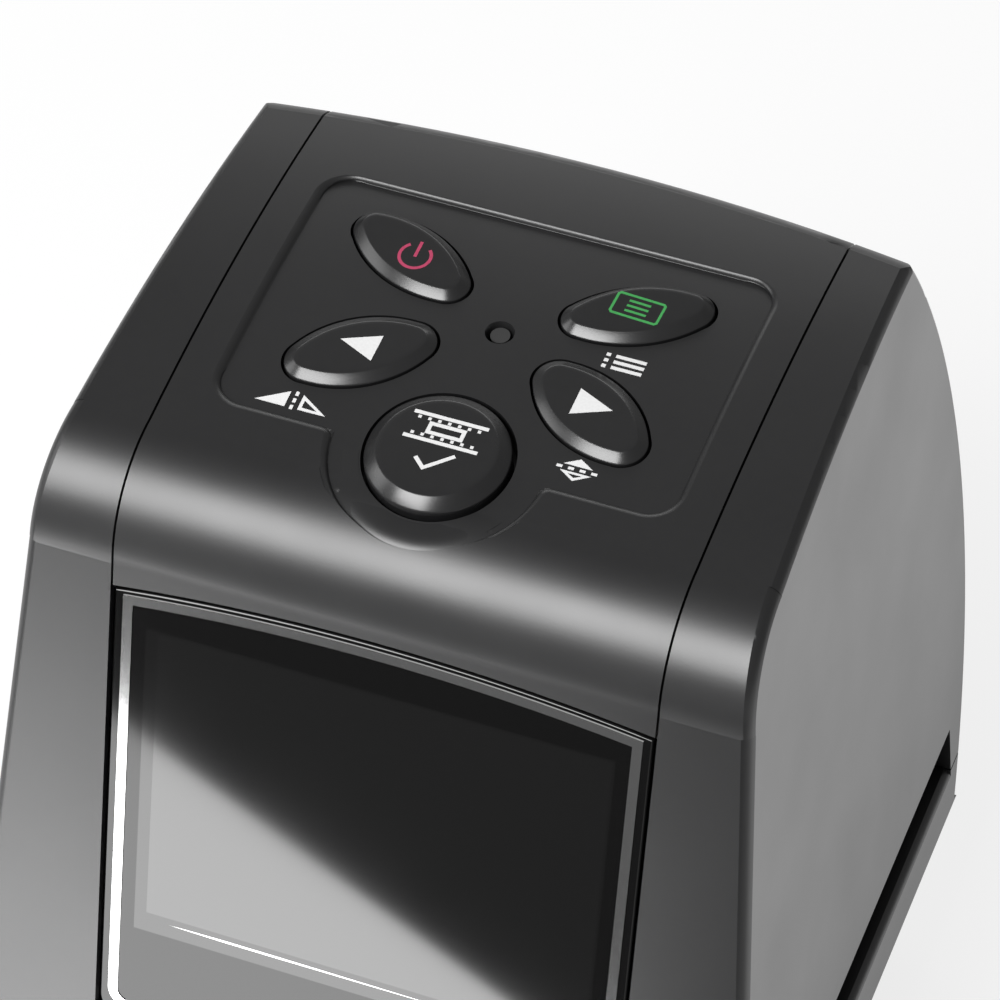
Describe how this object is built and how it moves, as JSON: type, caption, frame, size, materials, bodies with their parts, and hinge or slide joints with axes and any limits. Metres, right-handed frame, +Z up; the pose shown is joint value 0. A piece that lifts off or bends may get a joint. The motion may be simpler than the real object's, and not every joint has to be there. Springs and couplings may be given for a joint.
{
  "type": "film negative scanner",
  "caption": "Table-top film negative scanner: key panel and screen in front, a slot through both sides for the film holder, light box in the base, lens and sensor above.",
  "frame": {"origin": "middle of the footprint, on the table under the rubber feet", "axes": "+Z up, +X to the user's right, -Y towards the user: the screen and the key panel face -Y and up"},
  "size_m": [0.088, 0.0874, 0.1034],
  "materials": {
    "cover": "satin",
    "key": "satin",
    "screen_glass": "polished",
    "bright_line": "satin",
    "lcd_face": "gloss",
    "white_plastic": "matte",
    "steel": "satin",
    "flat_cable": "satin",
    "board": "satin",
    "chip": "matte",
    "light_pipe": "gloss",
    "lens_glass": "polished",
    "inner_black": "matte",
    "light_source": "matte",
    "rubber": "matte"
  },
  "bodies": {
    "housing": {"top_cover": "cover", "side_shell_left": "cover", "side_shell_right": "cover", "rear_cover": "cover", "front_bezel": "cover", "screen_glass": "screen_glass", "screen_line": "bright_line", "lcd_panel": "lcd_face", "lcd_frame": "white_plastic", "lcd_bracket": "steel", "lcd_screws": "steel", "lcd_ribbon": "flat_cable", "key_board": "board", "key_switches": "steel", "key_screws": "steel", "key_ribbon": "flat_cable", "light_pipe": "light_pipe", "main_board": "board", "board_chips": "chip", "board_screws": "steel", "usb_socket": "steel", "card_socket": "steel", "sensor_board": "board", "sensor_screws": "steel", "image_sensor": "chip", "lens_barrel": "inner_black", "lens_glass": "lens_glass", "optics_tower": "inner_black", "film_gate": "inner_black", "film_rails": "inner_black", "gate_screws": "steel", "detent_cap": "inner_black", "base_tray": "cover", "light_box": "white_plastic", "light_board": "board", "light_leds": "light_source", "diffuser": "white_plastic", "base_plate": "cover", "plate_screws": "steel", "rubber_feet": "rubber"},
    "power_key": {"power_key": "key"},
    "menu_key": {"menu_key": "key"},
    "left_key": {"left_key": "key"},
    "right_key": {"right_key": "key"},
    "scan_key": {"scan_key": "key"},
    "detent": {"detent_pin": "steel", "detent_spring": "steel"}
  },
  "joints": [
    {"name": "power_press", "type": "slide", "parent": "housing", "child": "power_key", "axis": [0, 0.1426, -0.9898], "range_m": [0, 0.0005], "stiffness_N_per_m": 1000, "springref_m": -0.0005},
    {"name": "menu_press", "type": "slide", "parent": "housing", "child": "menu_key", "axis": [0, 0.1426, -0.9898], "range_m": [0, 0.0005], "stiffness_N_per_m": 1000, "springref_m": -0.0005},
    {"name": "left_press", "type": "slide", "parent": "housing", "child": "left_key", "axis": [0, 0.1426, -0.9898], "range_m": [0, 0.0005], "stiffness_N_per_m": 1000, "springref_m": -0.0005},
    {"name": "right_press", "type": "slide", "parent": "housing", "child": "right_key", "axis": [0, 0.1426, -0.9898], "range_m": [0, 0.0005], "stiffness_N_per_m": 1000, "springref_m": -0.0005},
    {"name": "scan_press", "type": "slide", "parent": "housing", "child": "scan_key", "axis": [0, 0.1426, -0.9898], "range_m": [0, 0.0005], "stiffness_N_per_m": 1000, "springref_m": -0.0005},
    {"name": "detent_lift", "type": "slide", "parent": "housing", "child": "detent", "axis": [0, 0, 1], "range_m": [0, 0.0008], "stiffness_N_per_m": 800, "springref_m": -0.001, "deforming": ["detent_spring"]}
  ]
}
